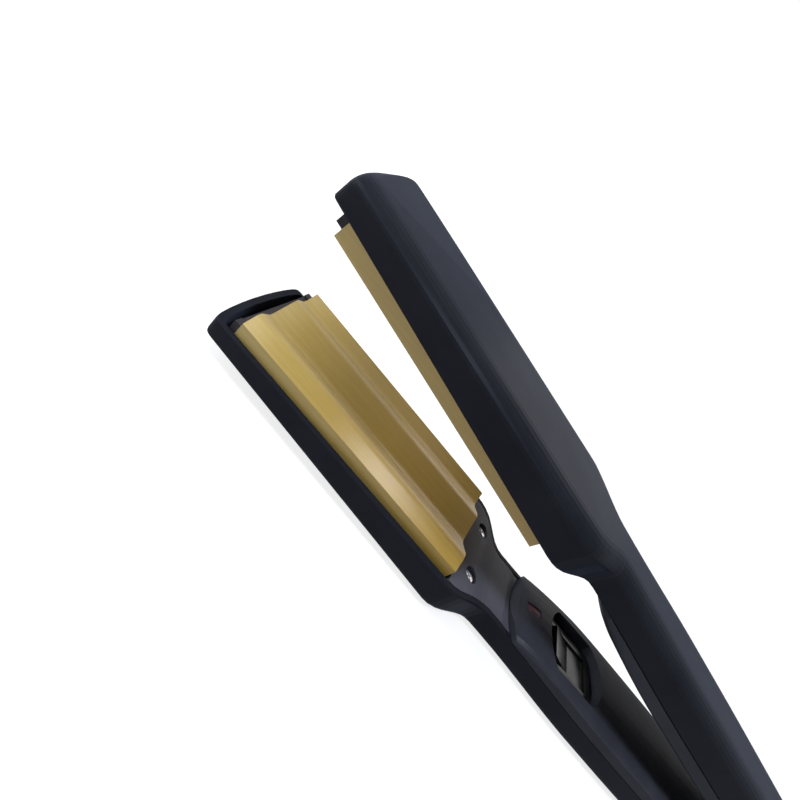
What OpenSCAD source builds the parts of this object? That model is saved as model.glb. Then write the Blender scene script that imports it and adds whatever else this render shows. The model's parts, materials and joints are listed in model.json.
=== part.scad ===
// Hair waver: two hinged arms, each with a floating, wave-shaped heated plate.
// Every arm is drawn in its own arm frame: X runs from the plate's tip end to the tail,
// Z points at the other arm and Z = 0 is the middle of the waves. The finished part stands on the
// back of the lower arm, with its origin at the middle of that resting face.

/* [Wave plates] */
// Length of each heated plate
plate_len = 100; // [80:1:120]
// Width of each heated plate
plate_w = 43; // [38:0.1:44]
// Height of the middle wave above and below the mean plane
mid_wave_h = 2; // [0.5:0.1:2.2]
// Distance of the middle crest and trough from the centre line
mid_wave_y = 6.2; // [5:0.1:7.5]
// Height of the side wave above and below the mean plane
side_wave_h = 2.1; // [0.5:0.1:2.2]
// Distance of the side crest and trough from the centre line
side_wave_y = 15.2; // [12:0.1:16]
// Height of the plate's long edges above and below the mean plane
edge_wave_h = 0.6; // [0:0.05:1.2]
// Radius of the wave crests and troughs
wave_r = 4.5; // [1:0.1:5]
// Depth of the plate's flat underside
plate_under = 3.6; // [3.2:0.1:4]
// Depth of the skirts along the plate's long edges
skirt_depth = 5.5; // [5.2:0.1:5.6]
// Thickness of the skirts
skirt_t = 1.5; // [1:0.1:2]
// Gap between the two wave faces when the arms are shut
closed_gap = 0.5; // [0.4:0.1:1]
// How far each plate can be pushed into its arm
float_travel = 1.2; // [0.8:0.1:1.2]

/* [Plate carrier and heater] */
// Thickness of the carrier floor and walls
carrier_t = 1.5; // [1.2:0.1:1.6]
// Height of the carrier's tip cap below the mean plane
cap_depth = 3; // [2.6:0.1:4]
// Length of the ceramic heater
heater_len = 70; // [40:1:76]
// Width of the ceramic heater
heater_w = 14; // [8:1:18]
// Thickness of the ceramic heater
heater_t = 2.6; // [1.5:0.1:3]
// Radius of the silicone pads that carry the plate
pad_r = 3.4; // [2.5:0.1:4]
// Height of the silicone pads
pad_h = 2.8; // [2.4:0.1:3]

/* [Arm housings] */
// Width of the head across the plate's tip end
head_tip_w = 46.8; // [45.6:0.1:52]
// Width of the head where the neck begins
head_rear_w = 50.6; // [49:0.1:56]
// Width of the neck at its waist
waist_w = 31; // [30:0.5:36]
// Width of the handle at its widest
handle_w = 35.8; // [33:0.1:42]
// Width of the tail at the hinge
tail_w = 30; // [29.6:0.1:34]
// Depth of the handle's back below the middle of the waves
back_depth = 18.5; // [18:0.1:22]
// How much shallower the head is at the tip end
head_taper = 4; // [2:0.1:4]
// Overhang of the head beyond the plate's tip end
tip_overhang = 8.8; // [7.5:0.1:12]
// Width of the rounded corners between back and sides
corner_w = 8; // [4:0.1:9]
// Height of those corners at the tip
tip_corner_h = 3; // [2:0.1:4]
// Height of those corners from the neck on
handle_corner_h = 4.5; // [3:0.1:6]
// Depth of the head's rim at the tip end
rim_tip_depth = 5.3; // [4.8:0.1:6]
// Depth of the head's rim at its rear end
rim_rear_depth = 3.8; // [3.4:0.1:5]
// Depth of the seam between housing and handle cover
seam_depth = 6.8; // [6:0.1:8]
// Side wall thickness at the tip
wall_tip = 1.4; // [1.2:0.1:1.6]
// Side wall thickness from the neck on
wall_rear = 2.3; // [1.8:0.1:2.6]
// Thickness of the housing's back
back_t = 2; // [1.5:0.1:2.4]
// Tilt of the flat facet across one corner of the upper arm's back
facet_tilt = 2; // [0.5:0.1:4]

/* [Covers] */
// Thickness of the neck and handle covers
cover_t = 2; // [1.5:0.1:2.4]
// Gap left around the edges of the covers
cover_gap = 0.4; // [0.1:0.05:0.45]
// Radius of the arched seam between neck cover and handle cover
arch_r = 34; // [28:1:60]
// Depth of the handle cover's crown
crown_depth = 0.4; // [0.3:0.1:1]
// Depth of the handle cover's long edges
crown_edge_depth = 2.9; // [2:0.1:4]
// Length over which the handle cover's nose rises to the crown
nose_len = 17; // [10:1:30]

/* [Screws] */
// Radius of the screw heads
screw_head_r = 2.5; // [2:0.1:3]
// Radius of the screw shanks
screw_r = 1.4; // [1:0.1:1.6]
// Radius of the counterbores
counterbore_r = 2.9; // [2.5:0.1:3.3]
// Distance of the neck screws from the centre line
neck_screw_y = 11.7; // [8:0.1:13]
// Distance of the tail screws from the centre line
tail_screw_y = 7.5; // [6:0.1:8]

/* [Switch and lamp] */
// Length of the rocker
rocker_len = 20.6; // [16:0.1:22]
// Width of the rocker
rocker_w = 13; // [10:0.1:14]
// Rocking angle between off and on
rocker_swing = 16; // [8:1:18]
// Radius of the finger recess around the rocker
recess_r = 15.5; // [14:0.1:18]
// Half the width of the finger recess
recess_half_w = 12.2; // [10:0.1:12.4]
// Depth of the floor of the finger recess
recess_depth = 5.2; // [4.6:0.1:5.6]
// Length of the lamp window
lens_len = 6.3; // [4:0.1:8]
// Width of the lamp window
lens_w = 3.8; // [2.5:0.1:5]

/* [Hinge and cord gland] */
// Angle between the arms when let go
open_angle = 7.85; // [4:0.05:12]
// Radius of the hinge pin
pin_r = 2.5; // [2:0.1:3]
// Radius of the hinge ears
ear_r = 6.5; // [5:0.1:6.8]
// Thickness of each hinge ear
ear_t = 3.4; // [2.5:0.1:3.5]
// Running clearance of the hinge pin in the upper arm's ears
pin_clear = 0.06; // [0.02:0.01:0.1]
// Radius of the cord's hole through the gland
cord_r = 3; // [2:0.1:3.2]
// Radius of the gland's neck, which turns in the housing
gland_r = 4.94; // [4.5:0.01:5]
// Running clearance around the gland's neck
gland_clear = 0.06; // [0.02:0.01:0.1]

/* [Hidden] */
$fn = 48;
skin_black = "#2c2e33";
cover_black = "#333338";
gold = "#b8a46a";
silver = "#c9cbcd";
dark = "#1a1a1d";
// Stations along the arm
tip_x = -tip_overhang;
tip_round_len = 5.1;
head_end = plate_len + 4;
neck_from = head_end - 2;
waist_x = plate_len + 24;
swell_from = plate_len + 30;
swell_to = plate_len + 82;
taper_from = plate_len + 100;
arch_x = plate_len + 32.7;
tail_block_x = plate_len + 170;
hinge_x = plate_len + 190;
tail_x = plate_len + 204;
tail_round_len = 12;
rest_x = plate_len + 90;
// Heights
hinge_z = closed_gap / 2;
tail_rim_depth = 2.2;
rim_chamfer = 0.5;
tip_rise = 2.2;
tail_rise = 2.5;
tip_bulge = 1.5;
tip_back_bulge = 2.5;
tail_bulge = 3.7;
end_wall = 2.4;
fuse_eps = 0.4;
// Plate fittings
lug_t = 0.8;
lug_gap = 0.3;
lug_top = skirt_depth + float_travel + lug_gap;
carrier_floor = lug_top + lug_t + lug_gap;
cover_from = plate_len + 1.2;
carrier_end = plate_len + 0.6;
carrier_half_w = plate_w / 2 - skirt_t - 0.2;
cap_half_w = plate_w / 2 - 0.1;
pad_x = [12, plate_len - 12];
pad_y = 12;
pad_base = carrier_floor + carrier_t + pad_h;
lug_x = [20, plate_len - 28];
lug_len = 8;
// Neck cover screws and tail cover screws
neck_screw_x = plate_len + 9.4;
tail_screw_x = plate_len + 162;
neck_seat_depth = 6.8;
tail_seat_depth = 4.2;
seat_t = 1.5;
head_h = 1.5;
boss_r = 3.2;
// Switch
switch_x = arch_x + 16.1 + recess_r;
rocker_pivot = recess_depth + 1.4;
rocker_gap = 0.35;
switch_wall = 1.4;
switch_half_len = rocker_len / 2 + rocker_gap + switch_wall;
switch_half_w = rocker_w / 2 + rocker_gap + switch_wall;
pivot_r = 1.2;
pivot_clear = 0.05;
bezel_t = 1;
lens_x = arch_x + 4.3;
lip_depth = 8.8;
// Hinge and gland
ear_gap = 0.4;
inner_ear_y = 4.4;
outer_ear_y = inner_ear_y + ear_t + ear_gap;
pin_end_y = outer_ear_y + ear_t;
gland_depth = 10;
gland_boss_r = 6.8;
gland_boss_from = tail_x - 5.6;
gland_boss_to = tail_x + 0.4;
board_x = rest_x + 2;
board_len = 54;
board_half_w = 10;
board_depth = 12.6;

// Node to draw, or "all"

// ---------- curves along the arm ----------

function clamp01(t) = max(0, min(1, t));
function ease(t) = (1 - cos(180 * clamp01(t))) / 2;
// Share of the full width at a distance from an end that bulges by so much and has rounded corners
function end_round(distance, bulge) =
  let (share = sqrt(max(0, distance) / bulge))
  share / pow(1 + pow(share, 8), 1 / 8);
// Half width of the arm, with its ends still square
function body_half(x) =
  let (head = (head_tip_w + (head_rear_w - head_tip_w) * x / head_end) / 2,
       neck = head + (waist_w / 2 - head) * ease((x - neck_from) / (waist_x - neck_from)),
       swell = (handle_w - waist_w) / 2 * ease((x - swell_from) / (swell_to - swell_from)),
       taper = (handle_w - tail_w) / 2 * ease((x - taper_from) / (hinge_x - taper_from)))
  neck + swell - taper;
function wall(x) = wall_tip + (wall_rear - wall_tip) * clamp01(x / head_end);
function ends(x, inset) =
  end_round(x - tip_x - inset, tip_bulge) * end_round(tail_x - inset - x, tail_bulge);
function outer_half(x) = body_half(x) * ends(x, 0);
function inner_half(x) = (body_half(x) - wall(x)) * ends(x, end_wall);
// Depth of the back, of the rim and of the neck cover's face, all below the middle of the waves
function back_z(x, inset = 0) =
  -back_depth + head_taper * max(0, head_end - x) / head_end
  + tip_rise * (1 - end_round(x - tip_x - inset, tip_back_bulge))
  + tail_rise * (1 - end_round(tail_x - inset - x, tail_bulge));
function head_rim_z(x) = -rim_tip_depth + (rim_tip_depth - rim_rear_depth) * clamp01(x / head_end);
function rim_z(x) =
  let (drop = ease((x - head_end - 4) / (waist_x - head_end - 6)))
  head_rim_z(x) + (-seam_depth + rim_rear_depth) * drop;
function corner_h(x) = tip_corner_h + (handle_corner_h - tip_corner_h) * clamp01(x / head_end);
function nose_t(x, len) = clamp01((x - arch_x) / len);
function crown_z(x) =
  -seam_depth + (seam_depth - crown_depth) * sqrt(1 - pow(1 - nose_t(x, nose_len), 2));
function crown_edge_z(x) =
  max(-seam_depth + fuse_eps,
      -seam_depth + (seam_depth - crown_edge_depth) * (1 - pow(1 - nose_t(x, 2 * nose_len), 1.5)));

// ---------- outlines ----------

function unit(v) = v / norm(v);
// A polygon corner p rounded to radius r, between its neighbours a and b
function arc_corner(a, p, b, r, steps) =
  let (u = unit(a - p),
       v = unit(b - p),
       half = acos(u * v) / 2,
       centre = p + unit(u + v) * r / sin(half),
       from = p + u * r / tan(half) - centre,
       turn = 180 - 2 * half,
       way = u.x * v.y - u.y * v.x > 0 ? -1 : 1)
  [for (k = [0:steps])
    let (angle = way * turn * k / steps)
    centre + [from.x * cos(angle) - from.y * sin(angle), from.x * sin(angle) + from.y * cos(angle)]];
// Open-topped section of a housing, with elliptical lower corners and chamfered rims
function tub_section(half, top, bottom, w, h, chamfer) =
  let (lip = chamfer > 0,
       round_w = min(w, 0.8 * half),
       corner = [for (angle = [0:15:90])
         [half - round_w * (1 - cos(angle)), bottom + h * (1 - sin(angle))]])
  concat(
    lip ? [[-half + chamfer, top], [-half, top - chamfer]] : [[-half, top]],
    [for (p = corner) [-p.x, p.y]],
    [for (k = [len(corner) - 1:-1:0]) corner[k]],
    lip ? [[half, top - chamfer], [half - chamfer, top]] : [[half, top]]
  );
function box_section(y0, y1, bottom, top) = [[y0, bottom], [y1, bottom], [y1, top], [y0, top]];
// Section of a cover with an elliptical crown
function crown_section(half, base, edge, crown) =
  concat(
    [[-half, base], [half, base]],
    [for (angle = [0:15:180]) [half * cos(angle), edge + (crown - edge) * sin(angle)]]
  );

// ---------- solids ----------

// Closed skin over a row of rings, each turning anticlockwise about the way they follow
module skin(rings) {
  count = len(rings[0]);
  last = len(rings) - 1;
  sides = [for (k = [0:last - 1], j = [0:count - 1])
    let (a = k * count + j,
         b = k * count + (j + 1) % count)
    each [[a, a + count, b + count], [a, b + count, b]]];
  polyhedron(
    points = [for (ring = rings) each ring],
    faces = concat(
      [[for (j = [0:count - 1]) j]],
      [[for (j = [count - 1:-1:0]) last * count + j]],
      sides
    )
  );
}

function ring_at(x, section) = [for (p = section) [x, p.x, p.y]];

module post(x, y, from_z, to_z, r) {
  translate([x, y, from_z]) cylinder(r = r, h = to_z - from_z);
}

module both_sides() {
  for (side = [-1, 1]) scale([1, side, 1]) children();
}

end_steps = [0.01, 0.05, 0.13, 0.24, 0.34, 0.46, 0.64, 0.84];
function arm_stations(inset) = concat(
  [for (u = end_steps) tip_x + inset + u * tip_round_len],
  [tip_x + inset + tip_round_len, plate_len / 2],
  [for (x = [neck_from:2.75:waist_x]) x],
  [for (x = [swell_from:8:swell_to]) x],
  [for (x = [taper_from:14:hinge_x]) x],
  [for (k = [len(end_steps) - 1:-1:0]) tail_x - inset - end_steps[k] * tail_round_len]
);

// Solid block of the whole arm, up to its rim
module arm_block() {
  skin([for (x = arm_stations(0))
    ring_at(x, tub_section(outer_half(x), rim_z(x), back_z(x), corner_w, corner_h(x), rim_chamfer))]);
}

// Solid block of the tail, which stands higher around the hinge
module tail_block() {
  stations = [for (x = arm_stations(0)) if (x > tail_block_x + 1) x];
  skin([for (x = concat([tail_block_x], stations))
    ring_at(x, tub_section(outer_half(x), -tail_rim_depth, back_z(x), corner_w, handle_corner_h,
      rim_chamfer))]);
}

// Hollow of the whole arm, open above
module arm_hollow() {
  skin([for (x = arm_stations(end_wall))
    ring_at(x, tub_section(inner_half(x), back_depth, back_z(x, end_wall) + back_t,
      corner_w - wall(x), max(1.2, corner_h(x) - back_t), 0))]);
}

// Rails inside the neck that the neck cover rests on
module neck_rail() {
  rail_w = 1.6;
  skin([for (x = concat([for (x = [cover_from:2.75:waist_x]) x], [arch_x + 3]))
    ring_at(x, box_section(inner_half(x) - rail_w, inner_half(x) + fuse_eps,
      rim_z(x) - cover_t - 2.5, rim_z(x) - cover_t))]);
}

// Pair of hinge ears at a distance y from the centre line
module ears(y, clear) {
  both_sides() translate([hinge_x, y + ear_t, hinge_z]) rotate([90, 0, 0])
    difference() {
      linear_extrude(ear_t) {
        circle(r = ear_r);
        translate([-ear_r, -back_depth - hinge_z + back_t - fuse_eps])
          square([2 * ear_r, back_depth - back_t + hinge_z + fuse_eps]);
      }
      translate([0, 0, -1]) cylinder(r = pin_r + clear, h = ear_t + 2);
    }
}

// Small lugs that keep the floating plate in the head
module lugs() {
  both_sides() for (x = lug_x)
    translate([x, carrier_half_w + 0.6, -lug_top - lug_t])
      cube([lug_len, inner_half(x) - carrier_half_w - 0.6 + fuse_eps, lug_t]);
}

module screw_boss(x, y, top) {
  post(x, y, -back_depth + back_t - fuse_eps, top, boss_r);
}

module screw_hole(x, y, top) {
  post(x, y, -back_depth + back_t + 0.6, top + 1, screw_r + 0.02);
}

// Everything that the two arm housings share
module arm_shell() {
  difference() {
    union() {
      difference() {
        union() {
          arm_block();
          tail_block();
        }
        arm_hollow();
      }
      both_sides() {
        neck_rail();
        screw_boss(neck_screw_x, neck_screw_y, -neck_seat_depth - seat_t);
        screw_boss(tail_screw_x, tail_screw_y, -tail_seat_depth - seat_t);
        for (x = pad_x) post(x, pad_y, back_z(x) + back_t - fuse_eps, -pad_base, pad_r + 0.8);
      }
      lugs();
    }
    both_sides() {
      screw_hole(neck_screw_x, neck_screw_y, -neck_seat_depth - seat_t);
      screw_hole(tail_screw_x, tail_screw_y, -tail_seat_depth - seat_t);
    }
  }
}

// Region on the handle's side of the arched seam
module arch_region(r) {
  translate([0, 0, -back_depth]) linear_extrude(2 * back_depth) {
    translate([arch_x + arch_r, 0]) circle(r = r, $fn = 120);
    translate([arch_x + arch_r, -handle_w]) square([tail_x, 2 * handle_w]);
  }
}

module neck_cover() {
  stations = concat([for (x = [cover_from:2.75:waist_x]) x], [arch_x - 3, arch_x - 1.5, arch_x, arch_x + 4]);
  dip = 0.4;
  difference() {
    union() {
      skin([for (x = stations)
        ring_at(x, box_section(-inner_half(x) + cover_gap, inner_half(x) - cover_gap,
          rim_z(x) - cover_t, rim_z(x) - dip * ease((x - arch_x + 3) / 3)))]);
      both_sides() post(neck_screw_x, neck_screw_y, -neck_seat_depth - seat_t,
        rim_z(neck_screw_x) - 1, boss_r + 0.8);
      translate([cover_from, -carrier_half_w, -carrier_floor])
        cube([1.6, 2 * carrier_half_w, carrier_floor - rim_rear_depth - 1]);
    }
    arch_region(arch_r + cover_gap);
    both_sides() screw_pass(neck_screw_x, neck_screw_y, -neck_seat_depth);
  }
}

// Hole for a screw's shank with a counterbore for its head
module screw_pass(x, y, seat) {
  post(x, y, seat, back_depth, counterbore_r);
  post(x, y, -back_depth, seat + 1, screw_r + 0.2);
}

module handle_crown() {
  stations = concat(
    [for (x = [arch_x:1.6:arch_x + nose_len]) x],
    [for (x = [arch_x + nose_len + 2:6:swell_to]) x],
    [for (x = [taper_from:14:tail_block_x - 5]) x],
    [tail_block_x - cover_gap]
  );
  skin([for (x = stations)
    ring_at(x, crown_section(outer_half(x), -seam_depth, crown_edge_z(x), crown_z(x)))]);
}

module handle_cover_hollow() {
  from = arch_x + 0.6 * nose_len;
  stations = concat(
    [for (x = [from:6:swell_to]) x],
    [for (x = [taper_from:14:tail_block_x - 8]) x],
    [tail_block_x - cover_t]
  );
  skin([for (x = stations)
    ring_at(x, crown_section(outer_half(x) - cover_t, -back_depth,
      crown_edge_z(x) - cover_t, crown_z(x) - cover_t))]);
}

// Handle cover without the openings that only the lower arm has
module handle_cover_blank() {
  difference() {
    union() {
      intersection() {
        union() {
          handle_crown();
          skin([for (x = [arch_x, arch_x + 4, arch_x + 0.6 * nose_len + 1])
            ring_at(x, box_section(-inner_half(x) + cover_gap, inner_half(x) - cover_gap,
              -lip_depth, -seam_depth + fuse_eps))]);
        }
        arch_region(arch_r);
      }
      translate([arch_x - 2.5, -10, -lip_depth - 1.3]) cube([5, 20, 1.2]);
      translate([arch_x + 1.2, -10, -lip_depth - 1.3]) cube([1.3, 20, 2]);
    }
    handle_cover_hollow();
  }
}

module handle_cover_bosses() {
  both_sides() post(tail_screw_x, tail_screw_y, -tail_seat_depth - seat_t,
    -crown_edge_depth, boss_r + 0.8);
}

// Plan of the finger recess, grown by a margin
module recess_plan(margin) {
  intersection() {
    circle(r = recess_r + margin, $fn = 72);
    square([4 * recess_r, 2 * (recess_half_w + margin)], center = true);
  }
}

module rounded_rect(length, width, r) {
  square([length - 2 * r, width], center = true);
  square([length, width - 2 * r], center = true);
  for (x = [-1, 1], y = [-1, 1])
    translate([x * (length / 2 - r), y * (width / 2 - r)]) circle(r = r, $fn = 24);
}

// Countersunk cross-head screw, drawn with its seat at Z = 0
module screw() {
  difference() {
    union() {
      cylinder(r1 = screw_head_r, r2 = screw_head_r - 0.4, h = head_h, $fn = 32);
      translate([0, 0, -7]) cylinder(r = screw_r, h = 7.5, $fn = 24);
    }
    for (angle = [45, 135]) rotate([0, 0, angle])
      translate([-1.7, -0.35, head_h - 0.9]) cube([3.4, 0.7, 2]);
  }
}

module arm_screws() {
  both_sides() {
    translate([neck_screw_x, neck_screw_y, -neck_seat_depth]) screw();
    translate([tail_screw_x, tail_screw_y, -tail_seat_depth]) screw();
  }
}

module float_pads() {
  both_sides() for (x = pad_x)
    post(x, pad_y, -pad_base, -carrier_floor - carrier_t, pad_r);
}

// Half of the wave, from the middle crest to the plate's long edge
half_wave = [[mid_wave_y, mid_wave_h], [side_wave_y, -side_wave_h], [plate_w / 2, edge_wave_h]];
wave_line = concat([for (k = [2:-1:0]) -half_wave[k]], half_wave);

module wave_plate() {
  crest_line = concat(
    [wave_line[0]],
    [for (k = [1:4]) each arc_corner(wave_line[k - 1], wave_line[k], wave_line[k + 1], wave_r, 5)],
    [wave_line[5]]
  );
  half = plate_w / 2;
  rotate([90, 0, 90]) linear_extrude(plate_len)
    polygon(concat(crest_line, [
      [half, -skirt_depth],
      [half - skirt_t, -skirt_depth],
      [half - skirt_t, -plate_under],
      [skirt_t - half, -plate_under],
      [skirt_t - half, -skirt_depth],
      [-half, -skirt_depth]
    ]));
}

module plate_carrier() {
  bottom = -carrier_floor - carrier_t;
  wall_top = -plate_under;
  cap_x = -2.4;
  translate([cap_x, -carrier_half_w, bottom]) cube([carrier_end - cap_x, 2 * carrier_half_w, carrier_t]);
  both_sides() {
    translate([cap_x, carrier_half_w - carrier_t, bottom])
      cube([plate_len - cap_x, carrier_t, wall_top - bottom]);
    for (x = lug_x) translate([x, 0, bottom]) cube([lug_len, carrier_half_w + 1.4, carrier_t]);
  }
  tab_w = 3;
  tab_h = 1;
  translate([cap_x, -cap_half_w, bottom]) cube([-cap_x, 2 * cap_half_w, -cap_depth - bottom]);
  both_sides() translate([cap_x, cap_half_w - tab_w, bottom])
    cube([-cap_x, tab_w, -cap_depth + tab_h - bottom]);
}

module heater() {
  translate([(plate_len - heater_len) / 2, -heater_w / 2, -plate_under - heater_t])
    cube([heater_len, heater_w, heater_t]);
}

// Bowed leaf that presses the heater against the plate
module heater_clamp() {
  room = carrier_floor - plate_under - heater_t;
  leaf = 0.6;
  margin = 4;
  from = (plate_len - heater_len) / 2 + margin;
  length = heater_len - 2 * margin;
  third = length / 3;
  ramp = 4;
  translate([from, heater_w / 2 - 1, -carrier_floor]) rotate([90, 0, 0])
    linear_extrude(heater_w - 2)
      polygon([
        [0, 0], [third, 0], [third + ramp, room - leaf], [2 * third - ramp, room - leaf],
        [2 * third, 0], [length, 0], [length, leaf], [2 * third + 1, leaf],
        [2 * third + 1 - ramp, room], [third - 1 + ramp, room], [third - 1, leaf], [0, leaf]
      ]);
}

// ---------- placing ----------

module arm_frame() {
  translate([-rest_x, 0, back_depth]) children();
}

// The upper arm is the lower one turned over about its length, then opened about the hinge
module upper_frame() {
  arm_frame() translate([hinge_x, 0, hinge_z]) rotate([0, open_angle, 0])
    translate([-hinge_x, 0, -hinge_z])
      translate([0, 0, 2 * hinge_z]) rotate([180, 0, 0]) children();
}

// ---------- lower arm ----------

module lower_housing() {
  post_r = 2;
  post_inset = 4;
  color(skin_black) arm_frame() difference() {
    union() {
      arm_shell();
      ears(outer_ear_y, 0.02);
      translate([gland_boss_from, 0, -gland_depth]) rotate([0, 90, 0])
        cylinder(r = gland_boss_r, h = gland_boss_to - gland_boss_from);
      for (x = [board_x + post_inset, board_x + board_len - post_inset], side = [-1, 1])
        post(x, side * (board_half_w - 3), -back_depth + back_t - fuse_eps, -board_depth, post_r);
    }
    translate([gland_boss_from - 1, 0, -gland_depth]) rotate([0, 90, 0])
      cylinder(r = gland_r + gland_clear, h = gland_boss_to - gland_boss_from + 2);
  }
}

module lower_neck_cover() {
  color(cover_black) arm_frame() neck_cover();
}

module lower_handle_cover() {
  recess_floor_t = 1.6;
  color(cover_black) arm_frame() difference() {
    union() {
      handle_cover_blank();
      intersection() {
        handle_crown();
        translate([switch_x, 0, -recess_depth - recess_floor_t])
          linear_extrude(back_depth) recess_plan(1.6);
      }
      intersection() {
        handle_crown();
        handle_cover_bosses();
      }
    }
    translate([switch_x, 0, -recess_depth]) linear_extrude(back_depth) recess_plan(0);
    translate([switch_x, 0, -recess_depth - 5]) linear_extrude(6)
      rounded_rect(2 * switch_half_len + 0.1, 2 * switch_half_w + 0.1, 1);
    translate([lens_x - 0.05, -lens_w / 2 - 0.05, -back_depth]) cube([lens_len + 0.1, lens_w + 0.1, 2 * back_depth]);
    both_sides() screw_pass(tail_screw_x, tail_screw_y, -tail_seat_depth);
  }
}

module lower_screws() {
  color(silver) arm_frame() arm_screws();
}

module lower_float_pads() {
  color("#8a3b33") arm_frame() float_pads();
}

module lower_wave_plate() {
  color(gold) arm_frame() wave_plate();
}

module lower_plate_carrier() {
  color(dark) arm_frame() plate_carrier();
}

module lower_heater() {
  color("#e8e4da") arm_frame() heater();
}

module lower_heater_clamp() {
  color(silver) arm_frame() heater_clamp();
}

module thermal_fuse() {
  fuse_r = 1.6;
  color(silver) arm_frame()
    translate([plate_len - 30, heater_w / 2 + 3.2, -carrier_floor + fuse_r]) rotate([0, 90, 0]) {
      cylinder(r = fuse_r, h = 12, $fn = 32);
      translate([0, 0, -5]) cylinder(r = 0.5, h = 22, $fn = 16);
    }
}

// Lamp window, its face sunk a little into the slope of the handle cover's nose
module indicator_lens() {
  flange = 0.9;
  sunk = 0.5;
  bottom = -lip_depth - flange;
  color("#6a2330") arm_frame() {
    intersection() {
      translate([lens_x, -lens_w / 2, bottom]) cube([lens_len, lens_w, back_depth]);
      union() {
        translate([0, 0, -sunk]) handle_crown();
        translate([lens_x, -lens_w / 2, bottom]) cube([lens_len, lens_w, -seam_depth - bottom]);
      }
    }
    translate([lens_x - 1, -lens_w / 2 - 1, bottom]) cube([lens_len + 2, lens_w + 2, flange]);
  }
}

module switch_body() {
  body_depth = 7.5;
  terminal_len = 3;
  color(dark) arm_frame() translate([switch_x, 0, -recess_depth]) difference() {
    union() {
      linear_extrude(bezel_t) rounded_rect(2 * switch_half_len + 2.4, 2 * switch_half_w + 2.4, 2);
      translate([0, 0, -body_depth]) linear_extrude(body_depth + 0.1)
        rounded_rect(2 * switch_half_len, 2 * switch_half_w, 1);
      for (x = [-6, 0, 6]) translate([x - 0.4, -2.4, -body_depth - terminal_len])
        cube([0.8, 4.8, terminal_len + 0.5]);
    }
    translate([0, 0, -body_depth + 1.5]) linear_extrude(body_depth + bezel_t)
      rounded_rect(rocker_len + 2 * rocker_gap, rocker_w + 2 * rocker_gap, 0.8);
    translate([0, switch_half_w + 1, recess_depth - rocker_pivot]) rotate([90, 0, 0])
      cylinder(r = pivot_r + pivot_clear, h = 2 * switch_half_w + 2, $fn = 32);
  }
}

module switch_rocker() {
  half = rocker_len / 2;
  rise = rocker_pivot - recess_depth + 1.4;
  color(dark) arm_frame() translate([switch_x, 0, -rocker_pivot])
    rotate([0, rocker_swing / 2, 0]) {
      translate([0, rocker_w / 2, 0]) rotate([90, 0, 0]) linear_extrude(rocker_w)
        polygon([
          [-half, -0.8], [-half + 5, -3], [half - 5, -3], [half, -0.8],
          [half - 0.3, rise], [0, rise - 1.2], [-half + 0.3, rise]
        ]);
      translate([0, switch_half_w - 0.3, 0]) rotate([90, 0, 0])
        cylinder(r = pivot_r, h = 2 * switch_half_w - 0.6, $fn = 32);
    }
}

module circuit_board() {
  board_t = 1.6;
  color("#2f6b3f") arm_frame() translate([board_x, 0, -board_depth]) {
    translate([0, -board_half_w, 0]) cube([board_len, 2 * board_half_w, board_t]);
    translate([10, -5, board_t - 0.1]) cube([15, 10, 7]);
    translate([33, 4, board_t - 0.1]) cylinder(r = 3.5, h = 7);
    translate([42, -6, board_t - 0.1]) cube([5, 12, 3.5]);
  }
}

module cord_gland() {
  gap = 0.3;
  flange_t = 1;
  collar_len = 9;
  color(cover_black) arm_frame() translate([0, 0, -gland_depth]) rotate([0, 90, 0])
    difference() {
      union() {
        translate([0, 0, gland_boss_from - gap - flange_t])
          cylinder(r = gland_r + 0.9, h = flange_t);
        translate([0, 0, gland_boss_from - gap - flange_t])
          cylinder(r = gland_r, h = gland_boss_to - gland_boss_from + 2 * gap + flange_t + 1);
        translate([0, 0, gland_boss_to + gap]) cylinder(r1 = gland_boss_r, r2 = gland_r, h = collar_len);
      }
      translate([0, 0, gland_boss_from - gap - flange_t - 1]) cylinder(r = cord_r, h = 30);
    }
}

// ---------- hinge ----------

module hinge_pin() {
  head_r = pin_r + 1.4;
  head_t = 0.9;
  color(silver) arm_frame() translate([hinge_x, -pin_end_y, hinge_z]) rotate([-90, 0, 0]) {
    cylinder(r = pin_r, h = 2 * pin_end_y + head_t);
    translate([0, 0, -head_t]) cylinder(r = head_r, h = head_t);
  }
}

module hinge_pin_clip() {
  color(silver) arm_frame() translate([hinge_x, pin_end_y, hinge_z]) rotate([-90, 0, 0])
    difference() {
      cylinder(r = pin_r + 1.4, h = 0.8);
      translate([0, 0, -1]) cylinder(r = pin_r + 0.02, h = 3);
    }
}

// Straight wire between two points
module wire(a, b, r) {
  v = b - a;
  translate(a) rotate([0, acos(v.z / norm(v)), atan2(v.y, v.x)]) cylinder(r = r, h = norm(v), $fn = 16);
}

module hinge_spring() {
  wire_r = 0.6;
  coil_r = pin_r + 1.7;
  turns = 4;
  pitch = 1.5;
  reach = 17;
  half_coil = turns * pitch / 2;
  floor_z = -back_depth + back_t + wire_r + 0.1;
  ceiling = back_depth - back_t - wire_r - 0.2;
  far = [-reach * cos(open_angle) + ceiling * sin(open_angle), half_coil,
         reach * sin(open_angle) + ceiling * cos(open_angle)];
  color(silver) arm_frame() translate([hinge_x, 0, hinge_z]) {
    skin([for (a = [-90:15:turns * 360 + 90])
      [for (b = [0:60:300])
        [(coil_r + wire_r * cos(b)) * cos(a),
         pitch * (a + 90) / 360 - half_coil - pitch / 4 + wire_r * sin(b),
         (coil_r + wire_r * cos(b)) * sin(a)]]]);
    wire([0, -half_coil - pitch / 4, -coil_r], [-reach, -half_coil - pitch / 4, floor_z - hinge_z], wire_r);
    wire([0, half_coil + pitch / 4, coil_r], far + [0, pitch / 4, 0], wire_r);
  }
}

// ---------- upper arm ----------

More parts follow.
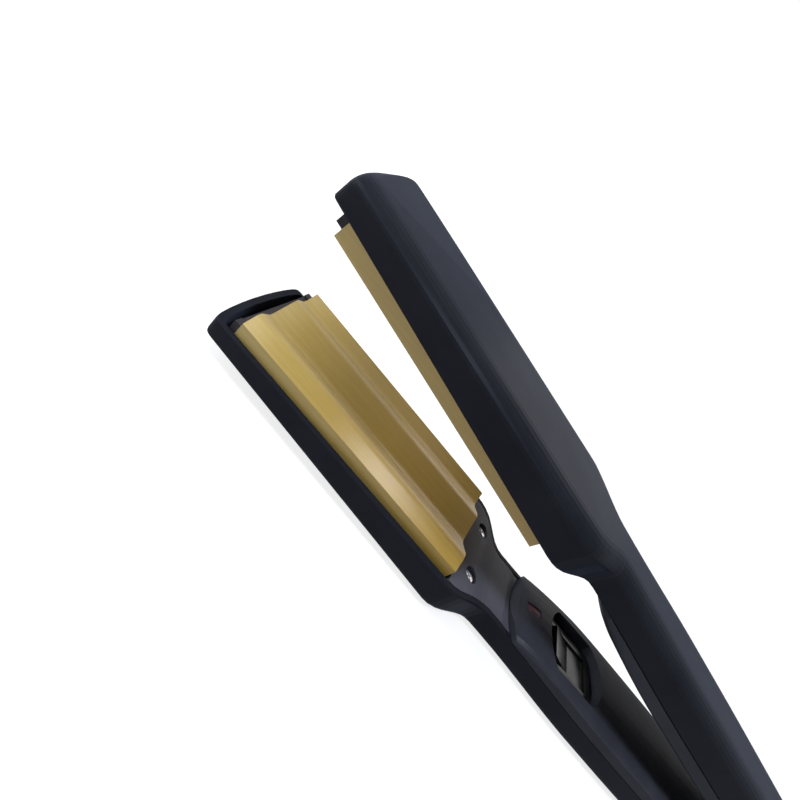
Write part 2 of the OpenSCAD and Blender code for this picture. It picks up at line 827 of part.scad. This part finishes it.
// Cuts the shallow facet across the tip corner of the back
module back_facet() {
  side = 1.2 * plate_len;
  line_from = [0.08 * plate_len, head_tip_w / 9];
  line_to = [0.46 * plate_len, -head_tip_w / 2];
  run = line_to - line_from;
  translate([line_from.x, line_from.y, back_z(line_from.x)])
    rotate([0, atan(head_taper / head_end), 0])
      rotate([0, 0, atan2(run.y, run.x)]) rotate([-facet_tilt, 0, 0])
        translate([-side / 2, -side, -side]) cube([side, side, side]);
}

module upper_housing() {
  color(skin_black) upper_frame() difference() {
    union() {
      arm_shell();
      ears(inner_ear_y, pin_clear);
    }
    back_facet();
  }
}

module upper_neck_cover() {
  color(cover_black) upper_frame() neck_cover();
}

module upper_handle_cover() {
  color(cover_black) upper_frame() difference() {
    union() {
      handle_cover_blank();
      intersection() {
        handle_crown();
        handle_cover_bosses();
      }
    }
    both_sides() screw_pass(tail_screw_x, tail_screw_y, -tail_seat_depth);
  }
}

module upper_screws() {
  color(silver) upper_frame() arm_screws();
}

module upper_float_pads() {
  color("#8a3b33") upper_frame() float_pads();
}

module upper_wave_plate() {
  color(gold) upper_frame() wave_plate();
}

module upper_plate_carrier() {
  color(dark) upper_frame() plate_carrier();
}

module upper_heater() {
  color("#e8e4da") upper_frame() heater();
}

module upper_heater_clamp() {
  color(silver) upper_frame() heater_clamp();
}

lower_housing();
lower_neck_cover();
lower_handle_cover();
lower_screws();
lower_float_pads();
lower_wave_plate();
lower_plate_carrier();
lower_heater();
lower_heater_clamp();
thermal_fuse();
indicator_lens();
switch_body();
switch_rocker();
circuit_board();
cord_gland();
hinge_pin();
hinge_pin_clip();
hinge_spring();
upper_housing();
upper_neck_cover();
upper_handle_cover();
upper_screws();
upper_float_pads();
upper_wave_plate();
upper_plate_carrier();
upper_heater();
upper_heater_clamp();
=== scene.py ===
"""Looks of the hair waver: gold wave plates in soft-touch black arms, on a pale studio floor.

All lengths are in metres, in the frame of the part: +X runs along the lower arm to its tail,
+Z is up and the lower arm rests on Z = 0.
"""
import json
import math

import bpy
from mathutils import Matrix, Vector

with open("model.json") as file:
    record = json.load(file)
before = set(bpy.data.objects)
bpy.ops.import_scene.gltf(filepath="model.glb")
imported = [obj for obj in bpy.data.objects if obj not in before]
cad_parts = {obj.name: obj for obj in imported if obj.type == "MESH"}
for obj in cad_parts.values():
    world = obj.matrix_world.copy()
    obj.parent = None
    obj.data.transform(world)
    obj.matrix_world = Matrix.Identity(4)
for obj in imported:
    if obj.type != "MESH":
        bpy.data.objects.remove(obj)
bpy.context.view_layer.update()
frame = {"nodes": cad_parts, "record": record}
nodes_by_name = frame["nodes"]

MM = 0.001

# Where the photograph was taken from, a point it looks at, its roll and its lens in mm
CAMERA_AT = Vector((-156.53, -127.59, 104.21)) * MM
CAMERA_TARGET = Vector((-139.67, 19.50, 18.5)) * MM
CAMERA_ROLL = math.radians(53.59)
CAMERA_LENS = 20.139

# Corners between faces that turn by less than this are shaded as one smooth surface
SHARP_ANGLE = math.radians(32)

# The corner from which an edge is rounded, and each node's width of rounding in mm
BEVEL_ANGLE = math.radians(35)
BEVEL_WIDTHS = {
    "lower_wave_plate": 0.35, "upper_wave_plate": 0.35,
    "lower_plate_carrier": 0.25, "upper_plate_carrier": 0.25,
    "switch_rocker": 0.4, "switch_body": 0.25, "indicator_lens": 0.2,
    "lower_screws": 0.3, "upper_screws": 0.3, "cord_gland": 0.4,
}

# What most lamps point at: the middle of the head
HEAD = (-0.1, 0, 0.03)

# Half the floor's width
FLOOR_HALF = 3.0


# ---------- material tools ----------

class Shader:
    """A principled material whose inputs are fed by procedural nodes in object space."""

    def __init__(self, name, **constants):
        self.material = bpy.data.materials.new(name)
        self.material.use_nodes = True
        self.tree = self.material.node_tree
        self.bsdf = self.tree.nodes["Principled BSDF"]
        self.place = self.node("ShaderNodeTexCoord").outputs["Object"]
        for socket, value in constants.items():
            self.bsdf.inputs[socket.replace("_", " ")].default_value = value

    def node(self, kind, **settings):
        made = self.tree.nodes.new(kind)
        for key, value in settings.items():
            setattr(made, key, value)
        return made

    def link(self, output, target):
        self.tree.links.new(output, target)

    def noise(self, scale, detail=2.0, rough=0.5, stretch=(1, 1, 1)):
        """Noise value from 0 to 1; scale counts features per metre."""
        mapping = self.node("ShaderNodeMapping")
        mapping.inputs["Scale"].default_value = stretch
        self.link(self.place, mapping.inputs["Vector"])
        noise = self.node("ShaderNodeTexNoise")
        noise.inputs["Scale"].default_value = scale
        noise.inputs["Detail"].default_value = detail
        noise.inputs["Roughness"].default_value = rough
        self.link(mapping.outputs["Vector"], noise.inputs["Vector"])
        return noise.outputs["Fac"]

    def spread(self, value, low, high, start=0.3, end=0.7):
        """Stretches a value from start..end to low..high."""
        ramp = self.node("ShaderNodeMapRange")
        ramp.inputs["From Min"].default_value = start
        ramp.inputs["From Max"].default_value = end
        ramp.inputs["To Min"].default_value = low
        ramp.inputs["To Max"].default_value = high
        self.link(value, ramp.inputs["Value"])
        return ramp.outputs["Result"]

    def colours(self, value, stops):
        """Colour ramp of (position, colour) stops over a value."""
        ramp = self.node("ShaderNodeValToRGB")
        elements = ramp.color_ramp.elements
        while len(elements) < len(stops):
            elements.new(0.5)
        for element, (position, colour) in zip(elements, stops):
            element.position = position
            element.color = (*colour, 1.0)
        self.link(value, ramp.inputs["Fac"])
        return ramp.outputs["Color"]

    def bump(self, value, strength, distance):
        bump = self.node("ShaderNodeBump")
        bump.inputs["Strength"].default_value = strength
        bump.inputs["Distance"].default_value = distance
        self.link(value, bump.inputs["Height"])
        self.link(bump.outputs["Normal"], self.bsdf.inputs["Normal"])

    def blend_along_x(self, first, second, start, end):
        """Turns from the first colour to the second between two places along X."""
        split = self.node("ShaderNodeSeparateXYZ")
        self.link(self.place, split.inputs["Vector"])
        mix = self.node("ShaderNodeMix", data_type="RGBA")
        self.link(self.spread(split.outputs["X"], 0, 1, start, end), mix.inputs["Factor"])
        self.link(first, mix.inputs["A"])
        self.link(second, mix.inputs["B"])
        return mix.outputs["Result"]

    def across_x(self):
        """Direction in the surface, square to the part's X axis."""
        cross = self.node("ShaderNodeVectorMath", operation="CROSS_PRODUCT")
        self.link(self.node("ShaderNodeTexCoord").outputs["Normal"], cross.inputs[0])
        cross.inputs[1].default_value = (1, 0, 0)
        turn = self.node("ShaderNodeVectorTransform", convert_from="OBJECT", convert_to="WORLD")
        self.link(cross.outputs["Vector"], turn.inputs["Vector"])
        return turn.outputs["Vector"]

    def feed(self, socket, value):
        self.link(value, self.bsdf.inputs[socket])


def moulded(name, dark, light, rough=(0.42, 0.52), grain=2600, depth=0.03 * MM, **constants):
    """Moulded plastic: faint mottling, fine grain and uneven gloss."""
    shader = Shader(name, **constants)
    mottle = shader.noise(45, detail=4, rough=0.6)
    shader.feed("Base Color", shader.colours(mottle, [(0.35, dark), (0.65, light)]))
    shader.feed("Roughness", shader.spread(shader.noise(180, detail=3), *rough))
    shader.bump(shader.noise(grain, detail=2, rough=0.6), 0.35, depth)
    return shader.material


def metal(name, dark, light, rough=(0.3, 0.4), stretch=(1, 1, 1), grain=1500):
    """Metal with fine scratches along one way."""
    shader = Shader(name, Metallic=1.0)
    streak = shader.noise(grain, detail=3, rough=0.7, stretch=stretch)
    shader.feed("Base Color", shader.colours(streak, [(0.3, dark), (0.7, light)]))
    shader.feed("Roughness", shader.spread(streak, *rough))
    shader.bump(streak, 0.2, 0.02 * MM)
    return shader.material


def gold_ceramic():
    """Satin champagne coat on drawn aluminium: fine grain, and a gloss that spreads across the draw.

    Its tone turns from pale at the tip to a deeper, more orange gold at the neck: painted shade and
    painted gold-on-gold reflection for where the closing arms shade the plates.
    """
    shader = Shader("gold_ceramic", Metallic=0.06, Specular_IOR_Level=0.8, Anisotropic=0.9)
    streaks = shader.noise(1100, detail=3, rough=0.6, stretch=(0.04, 1, 1))
    pale = shader.colours(streaks, [(0.30, (0.380, 0.270, 0.068)), (0.52, (0.404, 0.291, 0.080)),
                                    (0.70, (0.432, 0.318, 0.100))])
    # Deeper, more orange gold for the neck end: painted shade and painted reflection between the closing
    # arms
    neck_shade_gold = shader.colours(streaks, [(0.30, (0.414, 0.258, 0.040)), (0.52, (0.438, 0.277, 0.047)),
                                    (0.70, (0.464, 0.300, 0.061))])
    # Painted shade: the plates turn from the pale tip tone to the deeper one towards the neck
    shader.feed("Base Color", shader.blend_along_x(pale, neck_shade_gold, start=-0.19, end=-0.09))
    shader.feed("Roughness", shader.spread(streaks, 0.29, 0.39))
    shader.feed("Tangent", shader.across_x())
    shader.bump(shader.noise(2400, detail=3, rough=0.7), 0.3, 0.03 * MM)
    return shader.material


def board_mask():
    """Solder mask with faint copper tracks."""
    shader = Shader("board_green", Roughness=0.4)
    tracks = shader.node("ShaderNodeTexBrick")
    tracks.inputs["Scale"].default_value = 220
    tracks.inputs["Mortar Size"].default_value = 0.03
    tracks.inputs["Color1"].default_value = (0.02, 0.16, 0.07, 1)
    tracks.inputs["Color2"].default_value = (0.025, 0.18, 0.08, 1)
    tracks.inputs["Mortar"].default_value = (0.06, 0.30, 0.14, 1)
    shader.link(shader.place, tracks.inputs["Vector"])
    shader.feed("Base Color", tracks.outputs["Color"])
    shader.bump(tracks.outputs["Fac"], 0.3, 0.05 * MM)
    return shader.material


# ---------- materials ----------

housing = moulded("housing_black", (0.0110, 0.0120, 0.0165), (0.0145, 0.0160, 0.0215), rough=(0.40, 0.50),
                  Specular_IOR_Level=0.0, Coat_Weight=0.10, Coat_Roughness=0.34,
                  Sheen_Weight=0.14, Sheen_Roughness=0.30, Sheen_Tint=(0.62, 0.72, 1.0, 1))
# The covers' one charcoal plastic comes in two copies: the necks' is lightened as painted light where the
# upper arm shades them, and the handles' is darkened as painted shade.
cover = moulded("cover_charcoal", (0.088, 0.088, 0.105), (0.110, 0.110, 0.130), rough=(0.38, 0.48),
                Specular_IOR_Level=0.0, Coat_Weight=0.14, Coat_Roughness=0.30)
handle_cover = moulded("handle_shade_charcoal", (0.035, 0.036, 0.045), (0.046, 0.047, 0.058), rough=(0.38, 0.48),
                       Specular_IOR_Level=0.0, Coat_Weight=0.14, Coat_Roughness=0.30)
carrier = moulded("carrier_black", (0.026, 0.024, 0.027), (0.040, 0.037, 0.042), rough=(0.5, 0.6),
                  Specular_IOR_Level=0.1)
gold = gold_ceramic()
bright = metal("bright_steel", (0.66, 0.66, 0.68), (0.82, 0.82, 0.84), rough=(0.24, 0.36))
steel = metal("spring_steel", (0.45, 0.45, 0.47), (0.62, 0.62, 0.64), rough=(0.28, 0.4), stretch=(1, 8, 1))
silicone = moulded("silicone_red", (0.36, 0.07, 0.05), (0.46, 0.10, 0.07), rough=(0.55, 0.65))
ceramic = moulded("heater_white", (0.70, 0.67, 0.61), (0.80, 0.78, 0.72), rough=(0.6, 0.75), grain=4000)
lens = moulded("lens_red", (0.050, 0.014, 0.026), (0.070, 0.018, 0.034), rough=(0.22, 0.30), grain=900,
               depth=0.01 * MM, Specular_IOR_Level=0.12)
switch = moulded("switch_black", (0.010, 0.010, 0.011), (0.016, 0.016, 0.018), rough=(0.16, 0.24),
                 depth=0.01 * MM)
gland = moulded("gland_black", (0.018, 0.018, 0.020), (0.028, 0.028, 0.030), rough=(0.6, 0.7))
board = board_mask()

LOOKS = {
    "housing_black": housing,
    "cover_charcoal": cover,
    "carrier_black": carrier,
    "gold_ceramic": gold,
    "bright_steel": bright,
    "spring_steel": steel,
    "silicone_red": silicone,
    "heater_white": ceramic,
    "lens_red": lens,
    "switch_black": switch,
    "gland_black": gland,
    "board_green": board,
}


# ---------- pieces ----------

def round_edges(node, width):
    """Rounds the node's corners by a width in mm."""
    bevel = node.modifiers.new("edges", "BEVEL")
    bevel.width = width * MM
    bevel.segments = 3
    bevel.limit_method = "ANGLE"
    bevel.angle_limit = BEVEL_ANGLE


def smooth(node):
    """Smooth shading, with an edge kept sharp where its faces turn by SHARP_ANGLE or more."""
    mesh = node.data
    for polygon in mesh.polygons:
        polygon.use_smooth = True
    limit = math.cos(SHARP_ANGLE)
    normals_at = {}
    for polygon in mesh.polygons:
        for key in polygon.edge_keys:
            normals_at.setdefault(key, []).append(polygon.normal)
    for edge in mesh.edges:
        normals = normals_at.get(edge.key, [])
        edge.use_edge_sharp = len(normals) != 2 or normals[0].dot(normals[1]) < limit
    weighted = node.modifiers.new("flat_faces", "WEIGHTED_NORMAL")
    weighted.keep_sharp = True


def dress_nodes():
    """Gives each CAD node its finished material, soft edges and smooth curves.

    Materials go by the record's slots, but the handle covers take a darker copy of the cover charcoal as
    painted shade, while the necks' copy is lightened as painted light under the upper arm's shade.
    """
    for part in frame["record"]["subparts"]:
        name = part["node"]
        node = nodes_by_name[name]
        # Handle covers take the darker, painted-shade copy of the cover charcoal
        look = handle_cover if "handle_cover" in name else LOOKS[part["material_slot"]]
        node.data.materials.clear()
        node.data.materials.append(look)
        if name in BEVEL_WIDTHS:
            round_edges(node, BEVEL_WIDTHS[name])
        smooth(node)


dress_nodes()


# ---------- studio ----------

def combine(tree, operation, first, second):
    """Joins two values by a math operation."""
    joint = tree.nodes.new("ShaderNodeMath")
    joint.operation = operation
    tree.links.new(first, joint.inputs[0])
    tree.links.new(second, joint.inputs[1])
    return joint.outputs[0]


def smooth_step(tree, value, start, end, low, high):
    """Turns a value from start..end into low..high, with soft ends."""
    step = tree.nodes.new("ShaderNodeMapRange")
    step.interpolation_type = "SMOOTHSTEP"
    step.inputs["From Min"].default_value = start
    step.inputs["From Max"].default_value = end
    step.inputs["To Min"].default_value = low
    step.inputs["To Max"].default_value = high
    tree.links.new(value, step.inputs["Value"])
    return step.outputs["Result"]


def seen_rays(tree):
    """1 where the camera, a reflection or a transmission looks, 0 where light falls."""
    path = tree.nodes.new("ShaderNodeLightPath")
    through = combine(tree, "MAXIMUM", path.outputs["Is Camera Ray"], path.outputs["Is Transmission Ray"])
    return combine(tree, "MAXIMUM", through, path.outputs["Is Glossy Ray"])


def studio_world():
    """Faint even light; the camera sees white, and reflections see it fade upwards."""
    world = bpy.data.worlds.new("studio")
    bpy.context.scene.world = world
    world.use_nodes = True
    tree = world.node_tree
    lit = tree.nodes["Background"]
    lit.inputs["Color"].default_value = (0.95, 0.97, 1.0, 1)
    lit.inputs["Strength"].default_value = 0.02
    seen = tree.nodes.new("ShaderNodeBackground")
    seen.inputs["Color"].default_value = (1, 1, 1, 1)
    way = tree.nodes.new("ShaderNodeSeparateXYZ")
    tree.links.new(tree.nodes.new("ShaderNodeTexCoord").outputs["Generated"], way.inputs[0])
    fade = smooth_step(tree, way.outputs["Z"], start=0.45, end=0.85, low=1.0, high=0.25)
    direct = tree.nodes.new("ShaderNodeLightPath").outputs["Is Camera Ray"]
    tree.links.new(combine(tree, "MAXIMUM", fade, direct), seen.inputs["Strength"])
    mix = tree.nodes.new("ShaderNodeMixShader")
    tree.links.new(seen_rays(tree), mix.inputs["Fac"])
    tree.links.new(lit.outputs[0], mix.inputs[1])
    tree.links.new(seen.outputs[0], mix.inputs[2])
    tree.links.new(mix.outputs[0], tree.nodes["World Output"].inputs["Surface"])


def floor_white():
    """White floor that keeps the object's shadow; its own glow rises with the distance."""
    material = bpy.data.materials.new("floor_white")
    material.use_nodes = True
    tree = material.node_tree
    bsdf = tree.nodes["Principled BSDF"]
    bsdf.inputs["Base Color"].default_value = (0.3, 0.3, 0.3, 1)
    bsdf.inputs["Roughness"].default_value = 0.9
    bsdf.inputs["Specular IOR Level"].default_value = 0.1
    bsdf.inputs["Emission Color"].default_value = (1, 1, 1, 1)
    distance = tree.nodes.new("ShaderNodeVectorMath")
    distance.operation = "LENGTH"
    tree.links.new(tree.nodes.new("ShaderNodeTexCoord").outputs["Object"], distance.inputs[0])
    rise = smooth_step(tree, distance.outputs["Value"], start=0.2, end=0.8, low=0.80, high=1.05)
    lift = combine(tree, "MULTIPLY", seen_rays(tree), rise)
    tree.links.new(lift, bsdf.inputs["Emission Strength"])
    return material


def studio_floor():
    """Flat square under the part, far wider than the picture."""
    half = FLOOR_HALF
    mesh = bpy.data.meshes.new("floor")
    corners = [(-half, -half, 0), (half, -half, 0), (half, half, 0), (-half, half, 0)]
    mesh.from_pydata(corners, [], [(0, 1, 2, 3)])
    mesh.materials.append(floor_white())
    floor = bpy.data.objects.new("floor", mesh)
    bpy.context.scene.collection.objects.link(floor)


def soft_light(name, at, target, size, power, colour=(1, 1, 1)):
    """Rectangular lamp, with its size in metres and power in watts, that the camera doesn't see."""
    data = bpy.data.lights.new(name, "AREA")
    data.shape = "RECTANGLE"
    data.size, data.size_y = size
    data.energy = power
    data.color = colour
    light = bpy.data.objects.new(name, data)
    bpy.context.scene.collection.objects.link(light)
    light.location = at
    light.visible_camera = False
    light.rotation_euler = (Vector(target) - Vector(at)).to_track_quat("-Z", "Y").to_euler()


def studio_camera():
    """The photograph's camera, as solved from both plates, the arms and the screws."""
    data = bpy.data.cameras.new("camera")
    data.sensor_width = 36
    data.lens = CAMERA_LENS
    data.clip_start = 0.01
    camera = bpy.data.objects.new("camera", data)
    bpy.context.scene.collection.objects.link(camera)
    look = (CAMERA_TARGET - CAMERA_AT).to_track_quat("-Z", "Y").to_matrix()
    turn = look @ Matrix.Rotation(CAMERA_ROLL, 3, "Z")
    camera.matrix_world = Matrix.Translation(CAMERA_AT) @ turn.to_4x4()
    bpy.context.scene.camera = camera


studio_world()
studio_floor()
soft_light("key", (-0.45, -0.10, 0.60), HEAD, (0.3, 0.3), 2.2)
soft_light("crest_glint", (0.05, -0.28, 0.86), HEAD, (0.15, 0.15), 4.0, (0.76, 0.82, 1.0))
soft_light("tip_fill", (-0.62, 0.05, 0.20), HEAD, (0.4, 0.3), 2.7, (0.88, 0.93, 1.0))
soft_light("near_tip", (-0.33, -0.16, 0.10), HEAD, (0.12, 0.12), 0.15)
soft_light("top_back", (-0.10, 0.40, 0.80), HEAD, (0.5, 0.5), 0.8)
soft_light("rim", (0.26, 0.76, 0.36), (-0.1, 0, 0.06), (0.5, 0.4), 0.95, (1.0, 0.91, 0.80))
studio_camera()
bpy.context.scene.view_settings.view_transform = "Standard"
